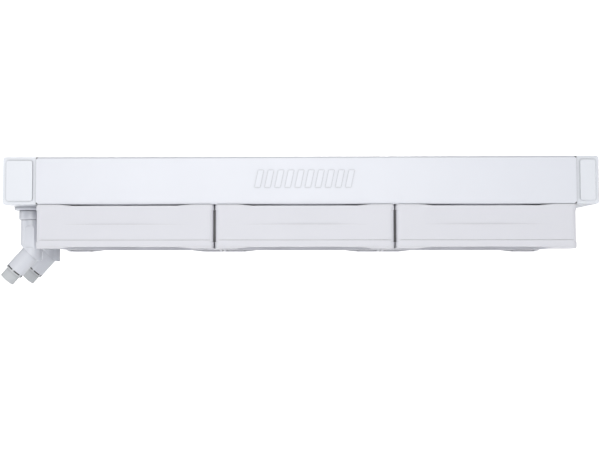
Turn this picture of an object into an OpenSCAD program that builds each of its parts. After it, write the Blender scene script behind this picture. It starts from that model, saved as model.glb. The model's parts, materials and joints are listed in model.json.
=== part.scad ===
// Liquid cooling radiator with three fans and two swivel hose fittings.
// +X runs along the length away from the ports, +Y from the ribbed side to the plain side, +Z up.
// The origin is the centre of the middle screw rectangle on the upper face, which is z = 0.

/* [Radiator] */
// Distance between the centres of neighbouring fans
fan_pitch = 120; // [120:1:122]
// Width across the two side rails
rad_w = 120; // [119:1:124]
// Thickness of the radiator
rad_t = 32; // [30:1:40]
// Length of the tank that has the ports
port_tank_l = 22.5; // [20:0.5:26]
// Length of the return tank
return_tank_l = 15; // [12:0.5:20]
// Thickness of the rail and tank sheet
sheet = 1.2; // [1:0.1:1.5]
// Width of the rails' folded flanges
flange_w = 14.5; // [12:0.5:15]
// Number of flat coolant tubes
tube_count = 12; // [8:2:14]
// Thickness of a coolant tube
tube_t = 2; // [1.6:0.1:2.4]
// Height of the coolant tubes and fins
core_h = 24; // [20:1:25]
// Length of one fold of the fins
fin_fold = 7.6; // [6:0.1:12]

/* [Screw rectangles] */
// Distance between screw centres, the same both ways
screw_pitch = 105; // [105:0.5:105.5]
// Diameter of the M3 screw holes in the rails
screw_hole_d = 3; // [3:0.1:3.3]
// Diameter of a fan screw's shank
screw_d = 2.94; // [2.8:0.01:2.94]

/* [Fans] */
// Width of a fan frame between its end flanges
fan_w = 118.8; // [118:0.1:119]
// Width of a fan frame across its end flanges
fan_flange_w = 119.7; // [119.2:0.1:119.8]
// Height of a fan frame without its pads
fan_h = 27.2; // [25:0.1:30]
// Thickness of the corner pads that meet the radiator
upper_pad_t = 0.9; // [0.6:0.1:1.5]
// Thickness of the corner pads on the open side
lower_pad_t = 1.2; // [0.6:0.1:1.5]
// Length and width of a corner pad
pad_w = 15; // [13:0.5:16]
// Radius of a frame's upright edges
fan_corner_r = 3; // [1:0.5:4]
// Diameter of the air duct
duct_d = 115.2; // [112:0.1:116]
// Number of blades
blade_count = 9; // [7:1:11]
// Gap between blade tips and duct
tip_gap = 1.3; // [0.8:0.1:2]
// Diameter of the impeller's hub
hub_d = 42; // [38:1:46]
// Diameter of the fan shaft
shaft_d = 3; // [2.5:0.1:3.2]
// Running clearance on the shaft's radius
shaft_gap = 0.02; // [0.01:0.01:0.05]

/* [Fittings] */
// Distance of each port from the radiator's centre line
port_y = 28; // [24:0.5:32]
// Distance of the port axis from the port tank's outer wall
port_inset = 12; // [11:0.1:12.5]
// Diameter of a port's boss
boss_d = 24; // [20:0.5:24]
// Thickness of a port's boss
boss_t = 2.2; // [1.5:0.1:3]
// Diameter of the fixed neck
neck_d = 17.5; // [16:0.1:18]
// Height of the fixed neck
neck_h = 6.6; // [5:0.1:8]
// Diameter of the elbow's upright body
elbow_d = 14.8; // [14:0.1:16]
// Diameter of the elbow's angled barrel
barrel_d = 13; // [12:0.1:14]
// Angle of the barrel below the horizontal
barrel_angle = 48; // [45:1:50]
// Length of the barrel from the upright axis to its end
barrel_l = 16.4; // [16:0.1:20]
// Diameter of the coolant passage
passage_d = 5; // [4:0.1:6]

/* [Hidden] */
$fn = 64;

white = [0.93, 0.94, 0.96];
fan_white = [0.88, 0.88, 0.91];
silver = [0.72, 0.74, 0.76];
dark = [0.12, 0.12, 0.13];

FANS = ["left", "middle", "right"];
PORTS = ["front", "rear"];

// Rails and tanks
rail_l = 3 * fan_pitch - 1;
rail_end = rail_l / 2;
port_end = -rail_end - port_tank_l;
return_end = rail_end + return_tank_l;
rail_bend_r = 1.6;
notch_w = 2.4;
notch_leg = notch_w / sqrt(2);
seal_sink = 0.4;
rib_count = 10;
rib_pitch = 6.7;
rib_w = 3.6;
rib_h = 11.4;
rib_slant = 12;
rib_t = 0.5;
rib_z = -15;
root = 0.1; // how far a raised detail reaches into the sheet it stands on
tank_edge_r = 1.6;
cap_step = 1;
cap_t = 1.4;
cap_margin = 2.4;
cap_panel_r = 1.6;
tank_y = rad_w / 2 - cap_step;
header_t = 1.6;
tube_end = rail_end + 3.4;
tube_wall = 0.35;
core_z = -rad_t / 2;
core_w = rad_w - 2 * sheet;
fin_row_w = (core_w - tube_count * tube_t) / (tube_count + 1);
fin_t = 0.25;
fin_end = rail_end - 0.4;
baffle_t = 1.5;
boss_edge_r = 1;
boss_cut = 0.6;
plug_d = 9;
plug_l = 4.4;
plug_gap = 0.01;
plug_hex_d = 4.6;
plug_hex_depth = 2.2;

// Fans, with heights in the radiator's own frame
fan_top = -rad_t - upper_pad_t;
fan_base = fan_top - fan_h;
pad_chamfer = 0.8;
pad_over = 0.15;
lip_l = 9;
lip_w = 2;
lip_t = 0.2;
flange_h = 3;
link_w = 114;
crease_z = -rad_t - 13.4;
crease_w = 86;
crease_depth = 0.5;
groove_z = -rad_t - 23.7;
groove_h = 0.5;
groove_depth = 0.35;
strut_h = 3;
strut_w = 4.5;
strut_count = 4;
motor_base_d = hub_d + 1;
motor_base_t = 2.2;
motor_z = fan_top - motor_base_t;
holder_d = 8.4;
sleeve_d = 6;
sleeve_l = 12;
holder_l = 14;
board_t = 1;
board_gap = 0.8;
board_d = 34;
stator_d = 31;
stator_t = 6;
stator_z = motor_z - 5.5;
pole_w = 3.2;
pole_gap = 3;
yoke_d = hub_d - 3;
yoke_t = 0.9;
magnet_t = 2.2;
magnet_over = 1.5;
coil_t = 1.5;
coil_end_t = 1.7;
coil_round = 1;
rotor_gap = 1.1;
rotor_top = fan_top - strut_h - rotor_gap;
hub_h = 21.4;
hub_round = 2;
hub_base = rotor_top - hub_h;
hub_wall = 1.5;
hub_boss_r = 4;
hub_boss_h = 4;
blade_lift = 0.4;
rotor_h = hub_h - 3 * blade_lift;
blade_t = 1.7;
blade_bend_r = 34;
blade_chord = 26;
blade_rise = 18;
blade_root = 17.5;
blade_tip = 15.5;
tip_r = duct_d / 2 - tip_gap;
screw_head_d = 5.6;
screw_head_h = 2;
screw_sink = 1;
screw_way_d = 4.3;
slot_l = 3.2;
slot_w = 0.7;
slot_depth = 1.1;
screw_top = -rad_t + sheet + 1.4;
shaft_base = hub_base + 0.8;
shaft_top = motor_z - 0.5;
clip_d = shaft_d + 2;
clip_bore = shaft_d - 0.6;
clip_top = shaft_top - 0.7;
clip_base = clip_top - 0.4;
clip_slit = 0.8;

// Fittings
port_x = port_end + port_inset;
neck_top = -rad_t - boss_t;
neck_base = neck_top - neck_h;
neck_chamfer = 0.5;
neck_thread_d = 12.6;
spigot_d = 10;
spigot_gap = 0.05;
spigot_l = 7.4;
elbow_top = neck_base - 0.2;
barrel_z = elbow_top - 22.2;
elbow_base = barrel_z - 5.8;
elbow_cut = 0.7;
flat_y = 6.7;
flat_w = 6.8;
o_ring_t = 1.06;
o_ring_rise = 3.2;
o_ring_groove_h = 1.3;
o_ring_in_r = spigot_d / 2 + spigot_gap / 2 - o_ring_t;
lock_ring_l = 0.9;
tail_socket_l = 7;
tail_d = 7;
tail_land = 0.8;
ridge_pitch = 2.2;
ridge_h = 0.4;
ridge_count = 3;
ferrule_d = 10.8;
ferrule_wall = 0.6;
ferrule_l = 8.2;
collar_l = 1;
collar_t = 0.23;
ring_gap = 0.02;
bridge_count = 6;
bridge_angle = 14;

// Points of an arc of radius r about c from angle a to angle b
function arc(c, r, a, b, steps = 5) =
  [for (i = [0:steps]) let (t = a + (b - a) * i / steps) [c[0] + r * cos(t), c[1] + r * sin(t)]];

// Corner points of a rectangle of half sizes w and h with corners of radius r
function round_box(w, h, r, steps = 5) = concat(
  arc([w - r, h - r], r, 0, 90, steps), arc([r - w, h - r], r, 90, 180, steps),
  arc([r - w, r - h], r, 180, 270, steps), arc([w - r, r - h], r, 270, 360, steps));

module for_corners(pitch) {
  for (x = [-1, 1], y = [-1, 1]) translate([x * pitch / 2, y * pitch / 2, 0]) children();
}

module at_fan(i) {
  translate([(i - 1) * fan_pitch, 0, 0]) children();
}

module at_port(i) {
  translate([port_x, (2 * i - 1) * port_y, 0]) children();
}

// Along the barrel's axis, with +Z running out of the barrel
module along_barrel() {
  translate([0, 0, barrel_z]) rotate([0, -90 - barrel_angle, 0]) children();
}

module tube_z(d, hole_d, z0, z1) {
  translate([0, 0, z0]) difference() {
    cylinder(d = d, h = z1 - z0);
    translate([0, 0, -1]) cylinder(d = hole_d, h = z1 - z0 + 2);
  }
}

// A side rail: a channel folded from sheet, open towards the core
module rail_profile() {
  inner_r = rail_bend_r - sheet;
  outer = concat(
    [[flange_w - rad_w / 2, 0]],
    arc([rail_bend_r - rad_w / 2, -rail_bend_r], rail_bend_r, 90, 180),
    arc([rail_bend_r - rad_w / 2, rail_bend_r - rad_t], rail_bend_r, 180, 270),
    [[flange_w - rad_w / 2, -rad_t]]);
  inner = concat(
    [[flange_w - rad_w / 2, sheet - rad_t]],
    arc([rail_bend_r - rad_w / 2, rail_bend_r - rad_t], inner_r, 270, 180, 3),
    arc([rail_bend_r - rad_w / 2, -rail_bend_r], inner_r, 180, 90, 3),
    [[flange_w - rad_w / 2, -sheet]]);
  polygon(concat(outer, inner));
}

module rail() {
  difference() {
    translate([-rail_end, 0, 0]) rotate([90, 0, 90]) linear_extrude(rail_l) rail_profile();
    for (i = [0:2], side = [-1, 1]) at_fan(i)
      translate([side * screw_pitch / 2, -screw_pitch / 2, -rad_t - 1])
        cylinder(d = screw_hole_d, h = rad_t + 2);
    for (x = [-rail_end, rail_end], z = [0, -rad_t]) translate([x, -rad_w / 2, z])
      rotate([0, 45, 0]) cube([notch_w, 2 * rail_bend_r, notch_w], center = true);
  }
}

// Outline of one slanted rib on the front rail's face
function rib_outline() = let (lean = rib_h / 2 * tan(rib_slant), w = rib_w / 2)
  [[-w - lean, -rib_h / 2], [w - lean, -rib_h / 2], [w + lean, rib_h / 2], [lean - w, rib_h / 2]];

module front_rail() {
  color(white) union() {
    rail();
    for (i = [0:rib_count - 1])
      translate([(i - (rib_count - 1) / 2) * rib_pitch, root - rad_w / 2, rib_z]) rotate([90, 0, 0])
        linear_extrude(rib_t + root) polygon(rib_outline());
  }
}

module rear_rail() {
  color(white) mirror([0, 1, 0]) rail();
}

// Sealant that fills the notches at the rails' ends, a little below the paint
module corner_seals() {
  depth = rail_bend_r - seal_sink;
  color(dark) for (x = [0, 1], y = [0, 1], z = [0, 1])
    translate([0, 0, core_z]) mirror([x, 0, 0]) mirror([0, y, 0]) mirror([0, 0, z])
      translate([rail_end, rad_w / 2 - seal_sink, rad_t / 2]) rotate([90, 0, 0]) linear_extrude(depth)
        polygon([[0, -seal_sink], [seal_sink - notch_leg, -seal_sink], [0, -notch_leg]]);
}

// Outline of a tank in the XZ plane; the side that faces the core is square
function tank_outline(x_out, x_in, r) = let (s = x_out < x_in ? 1 : -1) [
  [x_in, 0],
  for (p = arc([x_out + s * r, -r], r, 90, s > 0 ? 180 : 0)) p,
  for (p = arc([x_out + s * r, r - rad_t], r, s > 0 ? 180 : 0, s > 0 ? 270 : -90)) p,
  [x_in, -rad_t]
];

module tank(x_out, x_in) {
  s = x_out < x_in ? 1 : -1;
  inner_x = x_out + s * sheet;
  inner_l = abs(x_in - inner_x) + 1;
  difference() {
    translate([0, tank_y - cap_t, 0]) rotate([90, 0, 0])
      linear_extrude(2 * (tank_y - cap_t)) polygon(tank_outline(x_out, x_in, tank_edge_r));
    translate([inner_x + (s > 0 ? 0 : -inner_l), -tank_y - 1, sheet - rad_t])
      cube([inner_l, 2 * tank_y + 2, rad_t - 2 * sheet]);
  }
}

module port_tank() {
  color(white) difference() {
    tank(port_end, -rail_end);
    for (i = [0:1]) at_port(i) translate([0, 0, -rad_t - 1]) cylinder(d = neck_thread_d, h = sheet + 2);
  }
}

module return_tank() {
  color(white) difference() {
    tank(return_end, rail_end);
    translate([return_end - plug_l, 0, core_z]) rotate([0, 90, 0]) cylinder(d = plug_d, h = 2 * plug_l);
  }
}

// Pressed end caps: a border and a raised rounded panel
module tank_caps(x_out, x_in) {
  mid = (x_out + x_in) / 2;
  half_l = abs(x_in - x_out) / 2 - cap_margin;
  for (m = [0, 1]) mirror([0, m, 0]) union() {
    translate([0, cap_t - tank_y, 0]) rotate([90, 0, 0])
      linear_extrude(cap_t) polygon(tank_outline(x_out, x_in, tank_edge_r));
    translate([mid, root - tank_y, core_z]) rotate([90, 0, 0])
      linear_extrude(cap_step + root)
        polygon(round_box(half_l, rad_t / 2 - cap_margin, cap_panel_r));
  }
}

module port_tank_caps() {
  color(white) tank_caps(port_end, -rail_end);
}

module return_tank_caps() {
  color(white) tank_caps(return_end, rail_end);
}

function tube_y(i) = (i - (tube_count - 1) / 2) * (fin_row_w + tube_t);

module tube_section(grow) {
  polygon(round_box(tube_t / 2 + grow, core_h / 2 + grow, tube_t / 2 + grow - 0.01, 3));
}

// A header plate closes a tank and holds the tube ends
module header(x0) {
  difference() {
    translate([x0, cap_t - tank_y, sheet - rad_t])
      cube([header_t, 2 * (tank_y - cap_t), rad_t - 2 * sheet]);
    for (i = [0:tube_count - 1]) translate([x0 - 1, tube_y(i), core_z])
      rotate([90, 0, 90]) linear_extrude(header_t + 2) tube_section(0);
  }
}

module port_header() {
  color(silver) header(-rail_end - header_t);
}

module return_header() {
  color(silver) header(rail_end);
}

module tank_baffle() {
  color(silver) translate([port_end + sheet, -baffle_t / 2, sheet - rad_t])
    cube([port_tank_l - sheet - header_t, baffle_t, rad_t - 2 * sheet]);
}

module coolant_tubes() {
  color(silver) for (i = [0:tube_count - 1]) translate([-tube_end, tube_y(i), core_z])
    rotate([90, 0, 90]) linear_extrude(2 * tube_end) difference() {
      tube_section(0);
      tube_section(-tube_wall);
    }
}

// Corrugated strips: each fold runs from one tube to the next and back
module fin_rows() {
  folds = floor(2 * fin_end / fin_fold);
  step = fin_end / folds;
  shift = fin_t / 2 * sqrt(step * step + fin_row_w * fin_row_w) / step;
  half = fin_row_w / 2 - shift - 0.05;
  function side(k) = k % 2 == 0 ? -half : half;
  front = [for (k = [0:2 * folds]) [k * step - fin_end, side(k) - shift]];
  back = [for (k = [2 * folds:-1:0]) [k * step - fin_end, side(k) + shift]];
  color(silver) for (i = [0:tube_count]) translate([0, tube_y(i - 0.5), core_z - core_h / 2])
    linear_extrude(core_h) polygon(concat(front, back));
}

// Raised pads under the port tank, cut straight beside the first fan
module port_bosses() {
  color(white) for (i = [0:1]) intersection() {
    at_port(i) rotate_extrude() polygon([
      [neck_thread_d / 2, -rad_t], [boss_d / 2, -rad_t],
      for (p = arc([boss_d / 2 - boss_edge_r, boss_edge_r - rad_t - boss_t], boss_edge_r, 0, -90, 4)) p,
      [neck_thread_d / 2, -rad_t - boss_t]]);
    translate([port_end - 1, -rad_w / 2, -rad_t - boss_t - 1])
      cube([port_tank_l + 1 - boss_cut, rad_w, boss_t + 2]);
  }
}

module fill_plug() {
  color(silver) translate([return_end + 0.4 - plug_l, 0, core_z]) rotate([0, 90, 0]) difference() {
    cylinder(d = plug_d - 2 * plug_gap, h = plug_l);
    translate([0, 0, plug_l - plug_hex_depth]) cylinder(d = plug_hex_d, h = plug_l, $fn = 6);
  }
}

// Long screws that clamp the fans to the radiator, with their heads sunk in the frames
module fan_screws() {
  seat = fan_base + screw_sink;
  color(silver) for (i = [0:2]) at_fan(i) for_corners(screw_pitch) difference() {
    union() {
      translate([0, 0, fan_base]) cylinder(d = screw_d, h = screw_top - fan_base);
      translate([0, 0, seat - screw_head_h]) cylinder(d = screw_head_d, h = screw_head_h);
    }
    for (a = [0, 90]) rotate([0, 0, a]) translate([-slot_l / 2, -slot_w / 2, seat - screw_head_h - 1])
      cube([slot_l, slot_w, 1 + slot_depth]);
  }
}

// One soft pad on a frame's corner, with a lip that tapers off along each side
module pad(t) {
  half = fan_w / 2 + pad_over;
  difference() {
    union() {
      linear_extrude(t) translate([half - pad_w, half - pad_w]) polygon(concat(
        [[pad_chamfer, 0], [0, pad_chamfer], [0, pad_w]],
        arc([pad_w - fan_corner_r, pad_w - fan_corner_r], fan_corner_r, 90, 0), [[pad_w, 0]]));
      for (m = [0, 1]) mirror([m, -m, 0]) translate([half - pad_w, half, 0]) rotate([90, 0, 0])
        linear_extrude(lip_w) polygon([[1, 0], [-lip_l, 0], [-lip_l, lip_t], [0, t], [1, t]]);
    }
    translate([screw_pitch / 2, screw_pitch / 2, -1]) cylinder(d = screw_head_d + 1, h = t + 2);
  }
}

module fan_pads() {
  color(fan_white) for (i = [0:2], a = [0:90:270]) at_fan(i) rotate([0, 0, a]) {
    translate([0, 0, fan_top]) pad(upper_pad_t);
    translate([0, 0, fan_base]) mirror([0, 0, 1]) pad(lower_pad_t);
  }
}

// Strips that fill the gap between neighbouring fans, held by the fans' end flanges
module fan_links() {
  color(dark) for (i = [0, 1]) translate([(i - 0.5) * fan_pitch, 0, fan_base + flange_h])
    translate([(fan_w - fan_pitch) / 2, -link_w / 2, 0])
      cube([fan_pitch - fan_w, link_w, fan_h - 2 * flange_h]);
}

// Square shell of a fan with a round duct
module fan_shell() {
  difference() {
    union() {
      translate([0, 0, fan_base]) linear_extrude(fan_h)
        polygon(round_box(fan_w / 2, fan_w / 2, fan_corner_r));
      for (z = [fan_base, fan_top - flange_h]) translate([0, 0, z]) linear_extrude(flange_h)
        polygon(round_box(fan_flange_w / 2, fan_w / 2 - 0.02, fan_corner_r));
    }
    translate([0, 0, fan_base - 1]) cylinder(d = duct_d, h = fan_h + 2);
    for_corners(screw_pitch) {
      translate([0, 0, fan_base - 1]) cylinder(d = screw_way_d, h = fan_h + 2);
      translate([0, 0, fan_base - 1]) cylinder(d = screw_head_d + 0.6, h = 1 + screw_sink);
    }
    for (m = [0, 1]) mirror([0, m, 0]) fan_side_relief();
  }
}

// A shallow lens above the crease and a thin line near the base, cut into the front face
module fan_side_relief() {
  lens_r = (pow(crease_w / 2, 2) + pow(crease_depth, 2)) / (2 * crease_depth);
  lens_a = asin(crease_w / 2 / lens_r);
  translate([0, -fan_w / 2, crease_z]) linear_extrude(fan_top - crease_z + 1) polygon(concat(
    arc([0, crease_depth - lens_r], lens_r, 90 + lens_a, 90 - lens_a, 16),
    [[crease_w / 2, -2], [-crease_w / 2, -2]]));
  translate([-fan_w, -fan_w / 2 - 1, groove_z - groove_h / 2])
    cube([2 * fan_w, 1 + groove_depth, groove_h]);
}

module fan_frame() {
  color(fan_white) union() {
    fan_shell();
    for (i = [0:strut_count - 1]) rotate([0, 0, 45 + i * 360 / strut_count])
      translate([motor_base_d / 2 - 2, -strut_w / 2, fan_top - strut_h])
        cube([(duct_d - motor_base_d) / 2 + 4, strut_w, strut_h]);
    translate([0, 0, motor_z]) cylinder(d = motor_base_d, h = motor_base_t);
    tube_z(holder_d, sleeve_d, motor_z - holder_l, motor_z + 0.5);
  }
}

module fan_board() {
  color("darkgreen") tube_z(board_d, holder_d, motor_z - board_gap - board_t, motor_z - board_gap);
}

// Four-pole stator core: a disc with windows for the windings and gaps between the pole shoes
module fan_stator() {
  hub = holder_d + 4;
  shoe_in = stator_d - 4;
  z0 = stator_z - stator_t;
  color(silver) difference() {
    tube_z(stator_d, holder_d, z0, stator_z);
    difference() {
      tube_z(shoe_in, hub, z0 - 1, stator_z + 1);
      for (a = [0, 90]) rotate([0, 0, a]) translate([-stator_d, -pole_w / 2, z0 - 2])
        cube([2 * stator_d, pole_w, stator_t + 4]);
    }
    for (a = [45:90:315]) rotate([0, 0, a]) translate([hub / 2 + 1, -pole_gap / 2, z0 - 1])
      cube([stator_d, pole_gap, stator_t + 2]);
  }
}

module fan_windings() {
  x0 = holder_d / 2 + 2.6;
  coil_l = stator_d / 2 - 2.5 - x0;
  color("peru") for (a = [0:90:270]) rotate([0, 0, a])
    translate([x0, 0, stator_z - stator_t / 2]) rotate([0, 90, 0]) difference() {
      linear_extrude(coil_l)
        polygon(round_box(stator_t / 2 + coil_end_t, pole_w / 2 + coil_t, coil_round));
      translate([-stator_t / 2, -pole_w / 2, -1]) cube([stator_t, pole_w, stator_d]);
    }
}

module fan_bearing() {
  color("goldenrod")
    tube_z(sleeve_d, shaft_d + 2 * shaft_gap, motor_z - holder_l, motor_z - holder_l + sleeve_l);
}

// A blade is a slice of a curved sheet whose bend runs along the radius
module blade() {
  chord = sqrt(pow(blade_chord, 2) + pow(blade_rise, 2));
  drop = sqrt(pow(blade_bend_r, 2) - pow(chord / 2, 2));
  tilt = atan2(blade_chord, blade_rise);
  radii = [for (k = [0:5]) hub_d / 2 - 1 + k * (tip_r - hub_d / 2 + 2) / 5];
  function half_angle(r) = blade_root + (blade_tip - blade_root) * (r - hub_d / 2) / (tip_r - hub_d / 2);
  outline = concat(
    [for (r = radii) r * [cos(half_angle(r)), sin(half_angle(r))]],
    [for (k = [5:-1:0]) radii[k] * [cos(half_angle(radii[k])), -sin(half_angle(radii[k]))]]);
  intersection() {
    translate([0, drop * cos(tilt), drop * sin(tilt)]) rotate([0, 90, 0]) difference() {
      cylinder(r = blade_bend_r + blade_t / 2, h = tip_r + 5);
      translate([0, 0, -1]) cylinder(r = blade_bend_r - blade_t / 2, h = tip_r + 7);
    }
    translate([0, 0, -rotor_h / 2]) linear_extrude(rotor_h) polygon(outline);
    translate([0, 0, -rotor_h]) cylinder(r = tip_r, h = 2 * rotor_h);
  }
}

module fan_impeller() {
  boss_top = hub_wall + hub_boss_h;
  color(fan_white) difference() {
    union() {
      translate([0, 0, hub_base]) rotate_extrude() polygon(concat(
        [[0, 0]], arc([hub_d / 2 - hub_round, hub_round], hub_round, -90, 0),
        [[hub_d / 2, hub_h], [hub_d / 2 - hub_wall, hub_h], [hub_d / 2 - hub_wall, hub_wall],
         [hub_boss_r, hub_wall], [hub_boss_r, boss_top], [0, boss_top]]));
      for (i = [0:blade_count - 1]) rotate([0, 0, i * 360 / blade_count])
        translate([0, 0, hub_base + blade_lift + rotor_h / 2]) blade();
    }
    translate([0, 0, shaft_base]) cylinder(d = shaft_d, h = boss_top);
  }
}

module fan_yoke() {
  color(silver) translate([0, 0, hub_base + hub_wall]) difference() {
    cylinder(d = yoke_d, h = hub_h - 2 * hub_wall);
    translate([0, 0, yoke_t]) cylinder(d = yoke_d - 2 * yoke_t, h = hub_h);
    translate([0, 0, -1]) cylinder(r = hub_boss_r, h = yoke_t + 2);
  }
}

module fan_magnet() {
  d = yoke_d - 2 * yoke_t;
  color(dark) tube_z(d, d - 2 * magnet_t, stator_z - stator_t - magnet_over, stator_z + magnet_over);
}

module fan_shaft() {
  color(silver) difference() {
    translate([0, 0, shaft_base]) cylinder(d = shaft_d, h = shaft_top - shaft_base);
    tube_z(clip_d, clip_bore, clip_base, clip_top);
  }
}

// A slit washer in the shaft's groove keeps the impeller from dropping out
module fan_clip() {
  color("ivory") difference() {
    tube_z(clip_d, clip_bore, clip_base, clip_top);
    translate([0, -clip_slit / 2, clip_base - 1]) cube([clip_d, clip_slit, 3]);
  }
}

module neck() {
  bore_r = spigot_d / 2 + spigot_gap;
  color(white) rotate_extrude() polygon([
    [bore_r, sheet - rad_t], [neck_thread_d / 2, sheet - rad_t], [neck_thread_d / 2, neck_top],
    [neck_d / 2 - neck_chamfer, neck_top], [neck_d / 2, neck_top - neck_chamfer],
    [neck_d / 2, neck_base + neck_chamfer], [neck_d / 2 - neck_chamfer, neck_base], [bore_r, neck_base]]);
}

// The elbow: an upright body cut square to the barrel, the barrel, and the passage through both
module elbow() {
  block = 2 * elbow_d;
  color(white) difference() {
    union() {
      intersection() {
        translate([0, 0, elbow_base]) cylinder(d = elbow_d, h = elbow_top - elbow_base);
        along_barrel() translate([-block, -block / 2, elbow_cut - block]) cube([2 * block, block, block]);
      }
      translate([0, 0, elbow_top - 1]) cylinder(d = spigot_d, h = spigot_l + 1);
      along_barrel() cylinder(d = barrel_d, h = barrel_l);
    }
    for (m = [0, 1]) mirror([0, m, 0]) wrench_flat();
    translate([0, 0, barrel_z]) cylinder(d = passage_d, h = 60);
    along_barrel() translate([0, 0, -1.5]) cylinder(d = passage_d, h = 60);
    along_barrel() translate([0, 0, barrel_l - tail_socket_l]) cylinder(d = tail_d + 2 * tail_land, h = 30);
    tube_z(spigot_d + 2, 2 * o_ring_in_r, elbow_top + o_ring_rise - o_ring_groove_h / 2,
           elbow_top + o_ring_rise + o_ring_groove_h / 2);
  }
}

module wrench_flat() {
  translate([-flat_w / 2, -elbow_d, barrel_z + 3]) cube([flat_w, elbow_d - flat_y, 12]);
  translate([0, -flat_y, barrel_z + 15]) rotate([90, 0, 0]) cylinder(d = flat_w, h = elbow_d - flat_y);
}

module o_ring() {
  color(dark) translate([0, 0, elbow_top + o_ring_rise]) rotate_extrude()
    translate([o_ring_in_r + o_ring_t / 2, 0]) circle(d = o_ring_t - 0.02);
}

// The hose tail is pressed into the barrel; its ridges grip the hose inside the ferrule
module hose_tail() {
  land_r = tail_d / 2 + tail_land;
  land_end = tail_socket_l - 0.5;
  root_r = tail_d / 2 - ridge_h;
  ridges = [for (k = [0:ridge_count - 1]) let (z = land_end + k * ridge_pitch)
    each [[root_r, z], [tail_d / 2, z + ridge_h], [root_r, z + ridge_pitch - 0.2]]];
  color(silver) along_barrel() translate([0, 0, barrel_l - tail_socket_l]) rotate_extrude()
    polygon(concat(
      [[passage_d / 2, 0], [land_r, 0], [land_r, land_end]], ridges,
      [[passage_d / 2, land_end + ridge_count * ridge_pitch - 0.2]]));
}

module lock_ring() {
  color(dark) along_barrel()
    tube_z(barrel_d - 2 * collar_t - 2 * ring_gap, tail_d + 2 * tail_land, barrel_l, barrel_l + lock_ring_l);
}

// The ferrule's collar reaches over the lock ring with narrow bridges, so the ring shows as dashes
module ferrule() {
  z0 = barrel_l + lock_ring_l;
  window_w = barrel_d * sin(180 / bridge_count - bridge_angle / 2);
  color(white) along_barrel() union() {
    difference() {
      translate([0, 0, barrel_l + ring_gap]) cylinder(d = barrel_d, h = lock_ring_l + collar_l - ring_gap);
      translate([0, 0, barrel_l - 1]) cylinder(d = barrel_d - 2 * collar_t, h = 1 + lock_ring_l);
      translate([0, 0, barrel_l]) cylinder(d = tail_d + 2 * tail_land, h = 2 * collar_l + lock_ring_l);
      for (i = [0:bridge_count - 1]) rotate([0, 0, i * 360 / bridge_count])
        translate([barrel_d / 2 - 1.5, -window_w / 2, barrel_l - 1]) cube([3, window_w, 1 + lock_ring_l]);
    }
    tube_z(ferrule_d, ferrule_d - 2 * ferrule_wall, z0 + 0.1, z0 + ferrule_l);
  }
}

front_rail();
rear_rail();
port_tank();
return_tank();
port_tank_caps();
return_tank_caps();
port_header();
return_header();
tank_baffle();
coolant_tubes();
fin_rows();
port_bosses();
fill_plug();
corner_seals();
fan_screws();
fan_pads();
fan_links();
for (i = [0:2]) {
  at_fan(i) fan_frame();
  at_fan(i) fan_board();
  at_fan(i) fan_stator();
  at_fan(i) fan_windings();
  at_fan(i) fan_bearing();
  at_fan(i) fan_impeller();
  at_fan(i) fan_yoke();
  at_fan(i) fan_magnet();
  at_fan(i) fan_shaft();
  at_fan(i) fan_clip();
}
for (i = [0:1]) {
  at_port(i) neck();
  at_port(i) elbow();
  at_port(i) o_ring();
  at_port(i) hose_tail();
  at_port(i) lock_ring();
  at_port(i) ferrule();
}
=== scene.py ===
import json
import math
from functools import partial

import bmesh
import bpy
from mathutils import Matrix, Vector


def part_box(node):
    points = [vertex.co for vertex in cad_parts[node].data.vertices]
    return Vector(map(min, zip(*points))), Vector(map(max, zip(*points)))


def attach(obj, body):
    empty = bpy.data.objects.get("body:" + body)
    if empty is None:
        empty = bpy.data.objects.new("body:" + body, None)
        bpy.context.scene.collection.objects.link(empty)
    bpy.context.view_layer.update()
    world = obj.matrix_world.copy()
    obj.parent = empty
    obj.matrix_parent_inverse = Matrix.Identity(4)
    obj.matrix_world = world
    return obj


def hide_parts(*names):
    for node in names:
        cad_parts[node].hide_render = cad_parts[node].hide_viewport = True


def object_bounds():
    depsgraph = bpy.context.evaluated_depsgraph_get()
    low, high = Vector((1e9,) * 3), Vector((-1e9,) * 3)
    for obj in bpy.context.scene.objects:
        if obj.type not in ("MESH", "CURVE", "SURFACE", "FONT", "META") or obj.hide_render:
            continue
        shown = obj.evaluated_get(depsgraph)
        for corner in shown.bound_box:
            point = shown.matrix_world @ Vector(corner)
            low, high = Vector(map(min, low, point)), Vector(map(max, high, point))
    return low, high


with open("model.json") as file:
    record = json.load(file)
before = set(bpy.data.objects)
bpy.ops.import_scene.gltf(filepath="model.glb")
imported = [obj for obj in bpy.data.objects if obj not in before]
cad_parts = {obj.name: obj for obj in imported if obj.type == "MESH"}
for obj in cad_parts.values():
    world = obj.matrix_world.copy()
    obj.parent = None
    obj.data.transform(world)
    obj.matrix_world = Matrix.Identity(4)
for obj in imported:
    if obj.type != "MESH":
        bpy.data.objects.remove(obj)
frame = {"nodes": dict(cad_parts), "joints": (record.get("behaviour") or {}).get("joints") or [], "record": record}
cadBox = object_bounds()
scene = bpy.context.scene
mm = 0.001
fanSides = ("left", "middle", "right")
portSides = ("front", "rear")
print("frame loaded:", len(frame["nodes"]), "nodes")


# helpers for objects and nodes

def addObject(name, data):
    made = bpy.data.objects.new(name, data)
    scene.collection.objects.link(made)
    return made


def meshOf(bm, name):
    mesh = bpy.data.meshes.new(name)
    bm.to_mesh(mesh)
    bm.free()
    return mesh


def feedAll(links, node, values):
    # an input gets a fixed value, a link, or several links where it takes them
    for name, value in values.items():
        socket = node.inputs[name]
        if isinstance(value, (int, float, tuple)):
            socket.default_value = value
        elif isinstance(value, list):
            for each in value:
                links.new(each, socket)
        elif value is not None:
            links.new(value, socket)


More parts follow.
